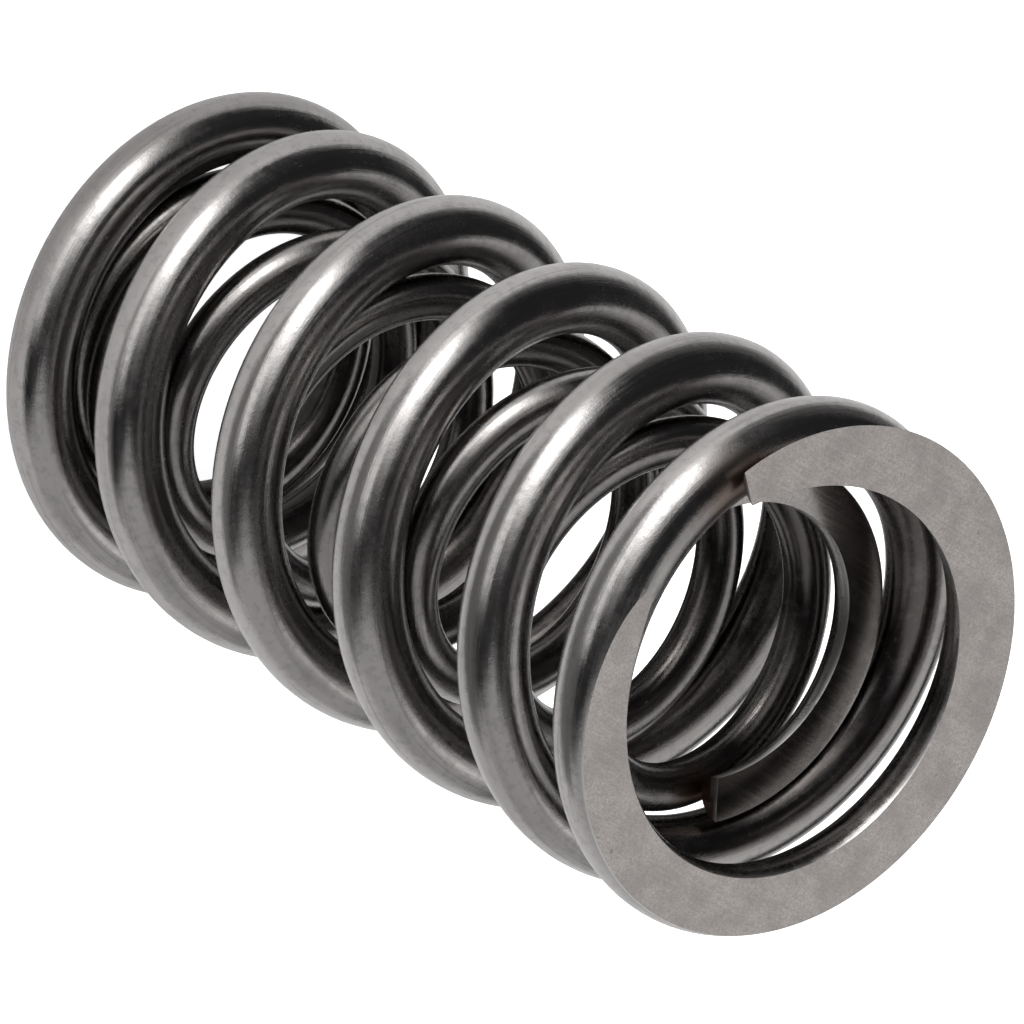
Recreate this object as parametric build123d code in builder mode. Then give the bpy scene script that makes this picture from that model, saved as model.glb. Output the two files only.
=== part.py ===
"""Engine valve spring: an outer coil with a smaller one nested inside it, wound the other way.

Millimetres, +Z up along the common axis, origin at the middle of the base. Both coils stand on
their lower ground ends at Z = 0. The inner coil is shorter, so its upper end lies down in the bore.
"""
import os
from math import cos, pi, radians, sin, tan

from build123d import *

# Outer coil
outer_diameter = 36.0
outer_wire = 4.75
outer_length = 67.5
outer_turns = 6.64
outer_tip = 0.4
outer_end_gap = 0.6
outer_top_opening = 1.27
outer_base_opening = 1.25
outer_top_azimuth = -126.1

# Inner coil, clear of the outer coil's bore all round
bore_clearance = 0.38
inner_set_down = 7.3
inner_wire = 3.2
inner_turns = 7.94
inner_tip = 1.55
inner_end_gap = 0.3
inner_top_opening = 0.4
inner_base_opening = 1.77
inner_top_azimuth = 34.0

# Turns at each end that stay shut, before the pitch opens
shut_turns = 0.55

# Degrees that each wound turn leans from square with the ground ends, and where it lies lowest
lean = 2.7
lean_azimuth = 115.0

# Points of a centre line in one turn
points_per_turn = 12

LEFT_HAND = 1
RIGHT_HAND = -1


def gathered(turns, opening):
    """Turns of full pitch gathered in so many turns, as the pitch opens smoothly from none."""
    if turns <= 0:
        return 0.0
    share = turns / opening
    if share >= 1:
        return turns - opening / 2
    return opening * (share**3 - share**4 / 2)


def missed(turns, opening):
    """Share of the end coil's missing rise found in so many turns from the tip: 1 at one turn."""
    return (turns - gathered(turns - shut_turns, opening)) / (1 - gathered(1 - shut_turns, opening))


def sunk(radius, angle):
    """How much lower than a square turn the leaning one lies at that angle."""
    return radius * cos(angle - radians(lean_azimuth)) * tan(radians(lean))


def centre_line(diameter, wire, length, turns, tip, end_gap, openings, top_azimuth, hand):
    """Points down the middle of the wire from its upper tip to its lower one.

    The end coils are wound shut: one turn from either tip the wire passes it with only the end gap
    between. Past the shut turns the pitch opens over as many turns as openings gives for the top
    and for the base. Both tips lie past the planes where the ends are ground, so that a wedge of
    wire as thick as tip is left there.
    """
    top_opening, base_opening = openings
    radius = (diameter - wire) / 2
    top_angle = radians(top_azimuth)
    base_angle = top_angle + hand * 2 * pi * turns
    top_sunk = sunk(radius, top_angle)
    drop = length + wire - 2 * tip - sunk(radius, base_angle) + top_sunk
    end_turn = wire + end_gap
    both_ends = missed(turns, top_opening) + missed(turns, base_opening)
    pitch = (drop - end_turn * both_ends) / (turns - both_ends)

    steps = round(turns * points_per_turn)
    points = []
    for step in range(steps + 1):
        turn = turns * step / steps
        base_missed = missed(turns, base_opening) - missed(turns - turn, base_opening)
        fall = pitch * turn - (pitch - end_turn) * (missed(turn, top_opening) + base_missed)
        angle = top_angle + hand * 2 * pi * turn
        height = length + wire / 2 - tip - fall - sunk(radius, angle) + top_sunk
        points.append((radius * cos(angle), radius * sin(angle), height))
    return points


def coil(name, wire, length, points):
    """Round wire swept down the centre line, with both ends ground flat."""
    with BuildPart() as spring:
        with BuildLine() as path:
            line = Spline(*points)
        with BuildSketch(Plane(origin=line @ 0, z_dir=line % 0)):
            Circle(wire / 2)
        sweep(path=path.line)
        split(bisect_by=Plane.XY, keep=Keep.TOP)
        split(bisect_by=Plane.XY.offset(length), keep=Keep.BOTTOM)
    spring.part.label = name
    export_step(spring.part, f"parts/{name}.step")
    return spring.part


os.makedirs("parts", exist_ok=True)

outer_openings = (outer_top_opening, outer_base_opening)
outer_points = centre_line(
    outer_diameter, outer_wire, outer_length, outer_turns,
    outer_tip, outer_end_gap, outer_openings, outer_top_azimuth, RIGHT_HAND,
)
outer_spring = coil("outer_spring", outer_wire, outer_length, outer_points)

inner_diameter = outer_diameter - 2 * outer_wire - 2 * bore_clearance
inner_length = outer_length - inner_set_down
inner_openings = (inner_top_opening, inner_base_opening)
inner_points = centre_line(
    inner_diameter, inner_wire, inner_length, inner_turns,
    inner_tip, inner_end_gap, inner_openings, inner_top_azimuth, LEFT_HAND,
)
inner_spring = coil("inner_spring", inner_wire, inner_length, inner_points)
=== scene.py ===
"""Looks of an engine valve spring: polished steel wire with ground ends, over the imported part."""
from math import cos, pi, radians, sin, tan

import bmesh
import bpy
from mathutils import Matrix, Vector


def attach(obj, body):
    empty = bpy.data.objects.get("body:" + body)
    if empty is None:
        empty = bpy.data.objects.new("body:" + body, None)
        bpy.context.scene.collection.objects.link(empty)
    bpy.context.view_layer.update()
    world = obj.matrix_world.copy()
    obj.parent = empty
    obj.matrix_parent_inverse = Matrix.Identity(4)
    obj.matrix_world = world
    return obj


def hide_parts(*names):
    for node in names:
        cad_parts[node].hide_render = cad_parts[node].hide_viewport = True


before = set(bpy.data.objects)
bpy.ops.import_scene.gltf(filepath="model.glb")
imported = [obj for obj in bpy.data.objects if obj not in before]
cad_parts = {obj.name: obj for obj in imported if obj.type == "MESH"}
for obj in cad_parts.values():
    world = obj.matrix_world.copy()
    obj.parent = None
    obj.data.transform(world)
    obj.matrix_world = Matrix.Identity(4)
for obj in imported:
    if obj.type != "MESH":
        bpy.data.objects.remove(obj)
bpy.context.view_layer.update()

MM = 0.001

# Coils, in millimetres and turns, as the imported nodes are
OUTER = dict(
    diameter=36.0, wire=4.75, length=67.5, turns=6.64, tip=0.4, end_gap=0.6,
    top_opening=1.27, base_opening=1.25, top_azimuth=-126.1, hand=-1,
)
INNER = dict(
    diameter=25.74, wire=3.2, length=60.2, turns=7.94, tip=1.55, end_gap=0.3,
    top_opening=0.4, base_opening=1.77, top_azimuth=34.0, hand=1,
)
SHUT_TURNS = 0.55
LEAN, LEAN_AZIMUTH = 2.7, 115.0

# Fineness of the meshes: rings of faces in one turn, and sides round the wire
OUTER_RINGS, OUTER_SIDES = 130, 48
INNER_RINGS, INNER_SIDES = 110, 36

# How near counts as the same point, and as lying on the grinding plane, in metres
SAME_POINT, ON_PLANE = 1e-7, 1e-8

# Slot of the ground steel on each coil, after the steel of its wire
GROUND_SLOT = 1


def gathered(turns, opening):
    """Turns of full pitch gathered in so many turns, as the pitch opens smoothly from none."""
    if turns <= 0:
        return 0.0
    share = turns / opening
    if share >= 1:
        return turns - opening / 2
    return opening * (share**3 - share**4 / 2)


def missed(turns, opening):
    """Share of the end coil's missing rise found in so many turns from the tip: 1 at one turn."""
    return (turns - gathered(turns - SHUT_TURNS, opening)) / (1 - gathered(1 - SHUT_TURNS, opening))


def sunk(radius, angle):
    """How much lower than a square turn the leaning one lies at that angle."""
    return radius * cos(angle - radians(LEAN_AZIMUTH)) * tan(radians(LEAN))


def centre_point(coil, turn):
    """Point on the middle of the wire, so many turns from the upper tip, in metres."""
    turns, top, base = coil["turns"], coil["top_opening"], coil["base_opening"]
    end_turn = coil["wire"] + coil["end_gap"]
    radius = (coil["diameter"] - coil["wire"]) / 2
    top_angle = radians(coil["top_azimuth"])
    top_sunk = sunk(radius, top_angle)
    base_sunk = sunk(radius, top_angle + coil["hand"] * 2 * pi * turns)
    drop = coil["length"] + coil["wire"] - 2 * coil["tip"] - base_sunk + top_sunk
    both_ends = missed(turns, top) + missed(turns, base)
    pitch = (drop - end_turn * both_ends) / (turns - both_ends)
    base_missed = missed(turns, base) - missed(turns - turn, base)
    fall = pitch * turn - (pitch - end_turn) * (missed(turn, top) + base_missed)
    angle = top_angle + coil["hand"] * 2 * pi * turn
    height = coil["length"] + coil["wire"] / 2 - coil["tip"] - fall - sunk(radius, angle) + top_sunk
    return Vector((radius * cos(angle), radius * sin(angle), height)) * MM


def wound_wire(name, coil, rings_per_turn, sides):
    """Round wire drawn along the coil's centre line, as a mesh with capped ends."""
    steps = round(coil["turns"] * rings_per_turn)
    curve = bpy.data.curves.new(name, "CURVE")
    curve.dimensions = "3D"
    curve.twist_mode = "Z_UP"
    curve.bevel_depth = coil["wire"] / 2 * MM
    curve.bevel_resolution = (sides - 4) // 2
    curve.use_fill_caps = True
    line = curve.splines.new("POLY")
    line.points.add(steps)
    for step, point in enumerate(line.points):
        point.co = (*centre_point(coil, coil["turns"] * step / steps), 1)
    holder = bpy.data.objects.new(name, curve)
    mesh = bpy.data.meshes.new_from_object(holder)
    bpy.data.objects.remove(holder)
    bpy.data.curves.remove(curve)
    return mesh


def grind(bm, height, outward):
    """Cuts the wire off at a grinding plane and closes the cut with its flat face."""
    everything = bm.verts[:] + bm.edges[:] + bm.faces[:]
    cut = bmesh.ops.bisect_plane(
        bm, geom=everything, dist=ON_PLANE,
        plane_co=(0, 0, height), plane_no=(0, 0, outward), clear_outer=True,
    )
    rim = [part for part in cut["geom_cut"] if isinstance(part, bmesh.types.BMEdge)]
    bmesh.ops.edgeloop_fill(bm, edges=rim, mat_nr=GROUND_SLOT)


def tip_triangles(bm):
    """The fans of triangles that close the wire's two tips."""
    return [face for face in bm.faces if len(face.verts) == 3]


def flat_faces(bm):
    """Ground faces and tips, the only faces with more than four corners."""
    return [face for face in bm.faces if len(face.verts) > 4]


def spring(name, coil, rings_per_turn, sides, wire_steel, ground_steel):
    """One coil, wound and ground at both ends."""
    mesh = wound_wire(name, coil, rings_per_turn, sides)
    mesh.materials.clear()
    mesh.materials.append(wire_steel)
    mesh.materials.append(ground_steel)
    bm = bmesh.new()
    bm.from_mesh(mesh)
    bmesh.ops.remove_doubles(bm, verts=bm.verts[:], dist=SAME_POINT)
    bmesh.ops.dissolve_faces(bm, faces=tip_triangles(bm))
    for face in bm.faces:
        face.smooth = True
    grind(bm, coil["length"] * MM, 1)
    grind(bm, 0, -1)
    bmesh.ops.recalc_face_normals(bm, faces=bm.faces[:])
    for face in flat_faces(bm):
        face.smooth = False
        for edge in face.edges:
            edge.smooth = False
    bm.to_mesh(mesh)
    bm.free()
    piece = bpy.data.objects.new(name, mesh)
    bpy.context.scene.collection.objects.link(piece)
    return piece


class Finish:
    """A steel surface under way: one material, with short ways to add and join its nodes."""

    def __init__(self, name, colour, roughness):
        """The plain colour and roughness show only where a program can't read the nodes."""
        self.material = bpy.data.materials.new(name)
        self.material.use_nodes = True
        self.nodes = self.material.node_tree.nodes
        self.links = self.material.node_tree.links
        self.shader = self.nodes["Principled BSDF"]
        self.shader.inputs["Metallic"].default_value = 1.0
        self.shader.inputs["Base Color"].default_value = (*colour, 1)
        self.shader.inputs["Roughness"].default_value = roughness
        self.place = self.nodes.new("ShaderNodeTexCoord").outputs["Object"]

    def set(self, socket, value):
        """Joins an output to a socket, or writes a plain value in it."""
        if isinstance(value, bpy.types.NodeSocket):
            self.links.new(value, socket)
        else:
            socket.default_value = value

    def sum(self, operation, *values):
        """Any sum on plain values, named as Blender names it."""
        node = self.nodes.new("ShaderNodeMath")
        node.operation = operation
        for socket, value in zip(node.inputs, values):
            self.set(socket, value)
        return node.outputs[0]

    def vector(self, operation, *values):
        """Any sum on vectors, named as Blender names it."""
        node = self.nodes.new("ShaderNodeVectorMath")
        node.operation = operation
        for socket, value in zip(node.inputs, values):
            self.set(socket, value)
        return node.outputs["Value" if operation in ("LENGTH", "DISTANCE") else "Vector"]

    def split(self, vector):
        """The X, Y and Z of a vector."""
        node = self.nodes.new("ShaderNodeSeparateXYZ")
        self.set(node.inputs[0], vector)
        return node.outputs

    def ramp(self, value, low, high, at_low=0.0, at_high=1.0):
        """Smooth step from one value to another."""
        node = self.nodes.new("ShaderNodeMapRange")
        node.interpolation_type = "SMOOTHSTEP"
        self.set(node.inputs["Value"], value)
        node.inputs["From Min"].default_value = low
        node.inputs["From Max"].default_value = high
        node.inputs["To Min"].default_value = at_low
        node.inputs["To Max"].default_value = at_high
        return node.outputs["Result"]

    def grain(self, place, size, detail, rough):
        """Cloudy noise about that many metres across."""
        node = self.nodes.new("ShaderNodeTexNoise")
        self.set(node.inputs["Vector"], place)
        node.inputs["Scale"].default_value = 1 / size
        node.inputs["Detail"].default_value = detail
        node.inputs["Roughness"].default_value = rough
        return node.outputs["Fac"]

    def blend(self, share, first, second):
        """The first colour with a share of the second."""
        node = self.nodes.new("ShaderNodeMix")
        node.data_type = "RGBA"
        self.set(node.inputs["Factor"], share)
        for socket, colour in ((node.inputs["A"], first), (node.inputs["B"], second)):
            self.set(socket, colour if isinstance(colour, bpy.types.NodeSocket) else (*colour, 1))
        return node.outputs["Result"]

    def mark(self, steel, colour, grain, low, high, most):
        """Steel with a colour laid over it where the grain is high, up to that share at most."""
        return self.blend(self.ramp(grain, low, high, 0.0, most), steel, colour)

    def dress(self, colour, roughness, height, depth):
        """Puts a worked-out colour, roughness and relief on the steel."""
        self.set(self.shader.inputs["Base Color"], colour)
        self.set(self.shader.inputs["Roughness"], roughness)
        bump = self.nodes.new("ShaderNodeBump")
        bump.inputs["Strength"].default_value = 1.0
        bump.inputs["Distance"].default_value = depth
        self.set(bump.inputs["Height"], height)
        self.set(self.shader.inputs["Normal"], bump.outputs["Normal"])
        return self.material


def shade(colour, share):
    """The same colour, that much lighter or darker."""
    return tuple(share * part for part in colour)


def along_wire(finish, coil, stretch):
    """Place on the wire as drawn out straight: along it, stretched, and across its round section."""
    own = finish.nodes.new("ShaderNodeUVMap")
    own.uv_map = "UVMap"
    along, around, _ = finish.split(own.outputs["UV"])
    turn = finish.sum("MULTIPLY", around, 2 * pi)
    radius = coil["wire"] / 2 * MM
    wound = coil["turns"] * pi * (coil["diameter"] - coil["wire"]) * MM
    straight = finish.nodes.new("ShaderNodeCombineXYZ")
    finish.set(straight.inputs["X"], finish.sum("MULTIPLY", along, wound / stretch))
    finish.set(straight.inputs["Y"], finish.sum("MULTIPLY", finish.sum("COSINE", turn), radius))
    finish.set(straight.inputs["Z"], finish.sum("MULTIPLY", finish.sum("SINE", turn), radius))
    return straight.outputs[0]


# Colours laid on the steel: marks and wear, a dark brown by the tip, and the painted highlight along the
# ground edges
TIP_BROWN = (0.13, 0.08, 0.055)
GRINDING_GREY = (0.3, 0.29, 0.28)
RUBBED_STEEL = (0.43, 0.415, 0.4)
EDGE_GLINT_STEEL = (0.6, 0.59, 0.58)
NICK_BLACK = (0.12, 0.11, 0.1)

# Marks on the wire: how many times longer than wide they are drawn, and how deep the relief is
FINE_MARK_STRETCH, BROAD_MARK_STRETCH = 60, 12
WIRE_RELIEF = 0.011 * MM

# Depths below a ground end: where the painted edge highlight fades, the rubbed edge fades and the strip
# blurs
EDGE_GLINT_SHARP, EDGE_GLINT_FADED = 0.04 * MM, 0.14 * MM
RUBBED_SHARP, RUBBED_FADED = 0.1 * MM, 0.45 * MM
STRIP_BLUR = 0.1 * MM


def brown_by_tip(finish, coil):
    """Share of dark brown on the wire near the upper tip, fading out a little over a wire's width from it.
    """
    wire = coil["wire"] * MM
    from_tip = finish.vector("DISTANCE", finish.place, tuple(centre_point(coil, 0)))
    return finish.ramp(from_tip, 0.45 * wire, 1.2 * wire, at_low=0.85, at_high=0.0)


def painted_edge_glint(finish, top):
    """Share of the painted highlight, a thin bright line by both ground ends, where the wire meets them
    steeply.
    """
    height = finish.split(finish.place)["Z"]
    upper = finish.ramp(height, top - EDGE_GLINT_FADED, top - EDGE_GLINT_SHARP)
    lower = finish.ramp(height, EDGE_GLINT_SHARP, EDGE_GLINT_FADED, at_low=1.0, at_high=0.0)
    facing = finish.split(finish.nodes.new("ShaderNodeNewGeometry").outputs["Normal"])["Z"]
    steep = finish.ramp(finish.sum("ABSOLUTE", facing), 0.78, 0.95, at_low=1.0, at_high=0.0)
    return finish.sum("MULTIPLY", finish.sum("MAXIMUM", upper, lower), steep)


def rubbed_edge(finish, top):
    """Share of rubbed steel just below the upper ground end."""
    height = finish.split(finish.place)["Z"]
    return finish.ramp(height, top - RUBBED_FADED, top - RUBBED_SHARP, at_high=0.75)


def ground_strip(finish, top, width, boreward, specks):
    """Share of the lighter strip that the grinding leaves below the upper end on the bore side."""
    height = finish.split(finish.place)["Z"]
    strip = finish.ramp(height, top - width - STRIP_BLUR, top - width + STRIP_BLUR)
    strip = finish.sum("MULTIPLY", strip, boreward)
    return finish.sum("MULTIPLY", strip, finish.ramp(specks, 0.3, 0.6, at_low=0.55))


def polished_wire(name, colour, bore_shade_and_mark_colour, coil, strip_width):
    """Drawn wire, bright outwards, with painted shade that turns it darker and browner towards the bore,
    and a painted highlight along the ground ends.
    """
    finish = Finish(name, colour, roughness=0.3)
    wire = coil["wire"] * MM
    middle = (coil["diameter"] - coil["wire"]) / 2 * MM
    top = coil["length"] * MM
    reach = finish.vector("LENGTH", finish.vector("MULTIPLY", finish.place, (1, 1, 0)))

    fine_marks = finish.grain(along_wire(finish, coil, FINE_MARK_STRETCH), 0.22 * MM, 3.0, 0.6)
    broad_marks = finish.grain(along_wire(finish, coil, BROAD_MARK_STRETCH), 1.6 * MM, 2.0, 0.5)
    specks = finish.grain(finish.place, 0.11 * MM, 2.0, 0.7)
    clouds = finish.grain(finish.place, 4.5 * MM, 4.0, 0.6)
    mottle = finish.grain(finish.place, 0.7 * MM, 3.0, 0.7)

    # Painted shade: the steel turns darker and browner towards the bore; the same dark colour also tints
    # the drawing marks
    outwards = finish.ramp(reach, middle - 0.42 * wire, middle + 0.22 * wire)
    steel = finish.blend(outwards, bore_shade_and_mark_colour, colour)
    steel = finish.mark(steel, shade(colour, 0.72), clouds, low=0.5, high=0.68, most=0.35)
    steel = finish.mark(steel, bore_shade_and_mark_colour, broad_marks, low=0.52, high=0.72, most=0.3)
    steel = finish.mark(steel, shade(colour, 0.6), mottle, low=0.48, high=0.68, most=0.4)
    steel = finish.mark(steel, bore_shade_and_mark_colour, fine_marks, low=0.56, high=0.7, most=0.3)

    tip_brown_share = brown_by_tip(finish, coil)
    boreward = finish.ramp(reach, middle - 0.1 * wire, middle + 0.1 * wire, at_low=1.0, at_high=0.0)
    strip = ground_strip(finish, top, strip_width, boreward, specks)
    rubbed = rubbed_edge(finish, top)
    # Darker and browner near the upper tip
    steel = finish.blend(tip_brown_share, steel, TIP_BROWN)
    steel = finish.blend(strip, steel, GRINDING_GREY)
    steel = finish.blend(rubbed, steel, RUBBED_STEEL)
    # Painted highlight: a thin bright line along the ground edges, where an edge would catch the light
    steel = finish.blend(painted_edge_glint(finish, top), steel, EDGE_GLINT_STEEL)

    matt = finish.ramp(fine_marks, 0.3, 0.75, at_low=0.17, at_high=0.26)
    matt = finish.sum("ADD", matt, finish.ramp(clouds, 0.35, 0.7, at_low=-0.03, at_high=0.05))
    matt = finish.sum("ADD", matt, finish.ramp(mottle, 0.35, 0.7, at_low=-0.01, at_high=0.05))
    matt = finish.sum("MULTIPLY_ADD", finish.sum("MAXIMUM", rubbed, strip), 0.12, matt)
    matt = finish.sum("MULTIPLY_ADD", tip_brown_share, 0.15, matt)
    relief = finish.sum("MULTIPLY_ADD", specks, 0.8, fine_marks)
    relief = finish.sum("MULTIPLY_ADD", mottle, 1.2, relief)
    return finish.dress(steel, matt, relief, WIRE_RELIEF)


# Wheel marks are a pattern squeezed this much, which draws them out along Y, and nicks another part of it
WHEEL_MARK_SQUEEZE = (0.94, 0.03, 1)
NICKS_ELSEWHERE = (0.05, 0.02, 0.0)
GROUND_RELIEF = 0.016 * MM


def ground_flat(name, colour, roughness):
    """Ground face: straight wheel marks, clouded and speckled, with a few dark nicks."""
    finish = Finish(name, colour, roughness)
    marks = finish.grain(finish.vector("MULTIPLY", finish.place, WHEEL_MARK_SQUEEZE), 0.16 * MM, 2.0, 0.6)
    clouds = finish.grain(finish.place, 2.8 * MM, 4.0, 0.62)
    specks = finish.grain(finish.place, 0.12 * MM, 3.0, 0.8)
    nicks = finish.grain(finish.vector("ADD", finish.place, NICKS_ELSEWHERE), 0.9 * MM, 1.0, 0.4)

    steel = finish.mark(colour, shade(colour, 0.78), clouds, low=0.36, high=0.66, most=1.0)
    steel = finish.mark(steel, shade(colour, 0.55), specks, low=0.4, high=0.62, most=0.7)
    steel = finish.mark(steel, shade(colour, 1.3), marks, low=0.5, high=0.75, most=0.2)
    steel = finish.mark(steel, NICK_BLACK, nicks, low=0.74, high=0.8, most=0.45)
    matt = finish.ramp(marks, 0.3, 0.7, at_low=0.85 * roughness, at_high=1.2 * roughness)
    relief = finish.sum("MULTIPLY_ADD", specks, 0.6, marks)
    return finish.dress(steel, matt, relief, GROUND_RELIEF * roughness**2)


# The bore colours are painted shade on the bore side of each wire, and also the colour of its drawing
# marks
outer_steel = polished_wire(
    "outer_wire_steel", colour=(0.4, 0.384, 0.376), bore_shade_and_mark_colour=(0.12, 0.108, 0.103),
    coil=OUTER, strip_width=0.0,
)
# The inner wire is coloured darker than the outer, as painted shade for lying inside the outer coil
inner_steel = polished_wire(
    "inner_wire_steel", colour=(0.29, 0.276, 0.268), bore_shade_and_mark_colour=(0.09, 0.082, 0.079),
    coil=INNER, strip_width=0.7 * MM,
)
outer_ground = ground_flat("outer_ground_steel", colour=(0.515, 0.478, 0.455), roughness=0.34)
# The inner ground steel is coloured darker than the outer's, as painted shade for lying deep inside the
# outer coil
inner_ground = ground_flat("inner_ground_steel", colour=(0.41, 0.385, 0.37), roughness=0.14)

outer = spring("outer_coil", OUTER, OUTER_RINGS, OUTER_SIDES, outer_steel, outer_ground)
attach(outer, "root")
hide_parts("outer_spring")

inner = spring("inner_coil", INNER, INNER_RINGS, INNER_SIDES, inner_steel, inner_ground)
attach(inner, "root")
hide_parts("inner_spring")

# Studio, in metres: white floor, grey cards on it that the steel mirrors as painted shade, and softboxes
# round a dim room
FLOOR_RADIUS, FLOOR_SIDES, FLOOR_HEIGHT = 4.0, 96, -0.05 * MM
CARD_RADIUS, CARD_SIDES = 0.3, 48
LAMPS_AIM = Vector((0, 0, 0.033))

# How pale the papers and the room are, and how bright the floor shows to the camera and in the steel
PAPER_WHITE = (0.75, 0.75, 0.75)
CARD_GREY = (0.2, 0.2, 0.2)
ROOM_GREY = (0.028, 0.028, 0.029)
SHOWN_TO_CAMERA, SHOWN_IN_STEEL = 0.93, 0.12


def white_floor():
    """Pale paper that takes the coils' shadow and shows white to the camera, less so in the steel."""
    material = bpy.data.materials.new("white_floor")
    material.use_nodes = True
    nodes, links = material.node_tree.nodes, material.node_tree.links
    nodes.clear()
    out = nodes.new("ShaderNodeOutputMaterial")
    paper = nodes.new("ShaderNodeBsdfDiffuse")
    paper.inputs["Color"].default_value = (*PAPER_WHITE, 1)
    glow = nodes.new("ShaderNodeEmission")
    glow.inputs["Color"].default_value = (1, 1, 1, 1)
    path = nodes.new("ShaderNodeLightPath")
    mirrored = nodes.new("ShaderNodeMath")
    mirrored.operation = "MAXIMUM"
    dimmed = nodes.new("ShaderNodeMath")
    dimmed.operation = "MULTIPLY"
    dimmed.inputs[1].default_value = SHOWN_IN_STEEL
    share = nodes.new("ShaderNodeMath")
    share.operation = "MULTIPLY_ADD"
    share.inputs[1].default_value = SHOWN_TO_CAMERA
    add = nodes.new("ShaderNodeAddShader")
    links.new(path.outputs["Is Glossy Ray"], mirrored.inputs[0])
    links.new(path.outputs["Is Transmission Ray"], mirrored.inputs[1])
    links.new(mirrored.outputs[0], dimmed.inputs[0])
    links.new(path.outputs["Is Camera Ray"], share.inputs[0])
    links.new(dimmed.outputs[0], share.inputs[2])
    links.new(share.outputs[0], glow.inputs["Strength"])
    links.new(paper.outputs[0], add.inputs[0])
    links.new(glow.outputs[0], add.inputs[1])
    links.new(add.outputs[0], out.inputs["Surface"])
    return material


def grey_paper():
    """Dull grey, for the cards."""
    material = bpy.data.materials.new("painted_shade_card")
    material.use_nodes = True
    paper = material.node_tree.nodes["Principled BSDF"]
    paper.inputs["Base Color"].default_value = (*CARD_GREY, 1)
    paper.inputs["Roughness"].default_value = 0.9
    return material


def round_sheet(name, x, y, height, radius, sides, paper):
    """Round sheet of the studio, lying level."""
    bm = bmesh.new()
    bmesh.ops.create_circle(bm, cap_ends=True, segments=sides, radius=radius)
    bmesh.ops.translate(bm, verts=bm.verts[:], vec=(x, y, height))
    mesh = bpy.data.meshes.new(name)
    bm.to_mesh(mesh)
    bm.free()
    mesh.materials.append(paper)
    sheet = bpy.data.objects.new(name, mesh)
    bpy.context.scene.collection.objects.link(sheet)
    return sheet


def painted_shade_card(name, x, y, height, paper):
    """Card on the floor that only the steel mirrors: painted shade on the floor there, next to the dark
    room.
    """
    card = round_sheet(name, x, y, height, CARD_RADIUS, CARD_SIDES, paper)
    card.visible_camera = False
    card.visible_diffuse = False
    card.visible_shadow = False


def softbox(name, azimuth, elevation, width, height, brightness, distance=0.5):
    """Area lamp at that azimuth from the part, 0 towards the front and 90 towards +X.

    Width and height are in degrees as seen from the part, and the distance is in metres.
    """
    a, e = radians(azimuth), radians(elevation)
    direction = Vector((sin(a) * cos(e), -cos(a) * cos(e), sin(e)))
    lamp = bpy.data.lights.new(name, "AREA")
    lamp.shape = "RECTANGLE"
    lamp.size = 2 * distance * tan(radians(width / 2))
    lamp.size_y = 2 * distance * tan(radians(height / 2))
    lamp.energy = brightness * pi * lamp.size * lamp.size_y
    holder = bpy.data.objects.new(name, lamp)
    holder.location = LAMPS_AIM + direction * distance
    holder.rotation_euler = direction.to_track_quat("Z", "Y").to_euler()
    holder.visible_camera = False
    bpy.context.scene.collection.objects.link(holder)
    return holder


round_sheet("floor", 0, 0, FLOOR_HEIGHT, FLOOR_RADIUS, FLOOR_SIDES, white_floor())

softbox("key_core", -38, 11, 12, 18, brightness=8.5, distance=0.28)
softbox("key_softbox", -38, 10, 32, 42, brightness=2.2, distance=0.3)
softbox("key_halo", -38, 13, 54, 62, brightness=0.75, distance=0.32)
softbox("key_fringe", -24, 17, 56, 66, brightness=0.3, distance=0.34)
softbox("front_softbox", 2, 0, 44, 34, brightness=1.22, distance=0.3)
softbox("right_softbox", 99, 32, 74, 70, brightness=0.57)
softbox("back_softbox", 172, 46, 44, 50, brightness=0.85)

# Lights the floor only, so that the steel mirrors it with the shade that the coils leave round them
softbox("floor_softbox", 0, 90, 60, 60, brightness=2.3).visible_glossy = False

card_paper = grey_paper()
painted_shade_card("front_card", 0.13, -0.33, 1.0 * MM, card_paper)
painted_shade_card("left_card", -0.43, 0.1, 1.2 * MM, card_paper)

world = bpy.data.worlds.new("dim_room")
world.use_nodes = True
world.node_tree.nodes["Background"].inputs["Color"].default_value = (*ROOM_GREY, 1)
world.node_tree.nodes["Background"].inputs["Strength"].default_value = 1.0
bpy.context.scene.world = world

# Camera, looking down on the upper end, turned so that the coils run down to the right
ELEVATION, ROLL = 0.81657, 2.09939
DISTANCE = 0.64458
AIM = Vector((-0.00026421, 0, 0.03605678))

# Picture, in pixels: its side, the scale at the aim and how far the lens is shifted
PICTURE_SIDE = 1024
PIXELS_PER_METRE = 14920.36
SHIFT_RIGHT, SHIFT_UP = -1.14, -0.55


def photo_camera():
    """Camera that sees the coils as the photograph does."""
    back = Vector((0, -cos(ELEVATION), sin(ELEVATION)))
    level_right = Vector((1, 0, 0))
    right = cos(ROLL) * level_right + sin(ROLL) * back.cross(level_right)
    up = back.cross(right)
    camera = bpy.data.cameras.new("camera")
    camera.sensor_width = 36
    camera.lens = PIXELS_PER_METRE * DISTANCE / PICTURE_SIDE * camera.sensor_width
    camera.shift_x = SHIFT_RIGHT / PICTURE_SIDE
    camera.shift_y = SHIFT_UP / PICTURE_SIDE
    camera.clip_start = 0.01
    camera.clip_end = 20
    holder = bpy.data.objects.new("camera", camera)
    turned = Matrix((right, up, back)).transposed().to_4x4()
    holder.matrix_world = Matrix.Translation(AIM + back * DISTANCE) @ turned
    bpy.context.scene.collection.objects.link(holder)
    return holder


bpy.context.scene.camera = photo_camera()

bpy.context.scene.view_settings.view_transform = "Standard"
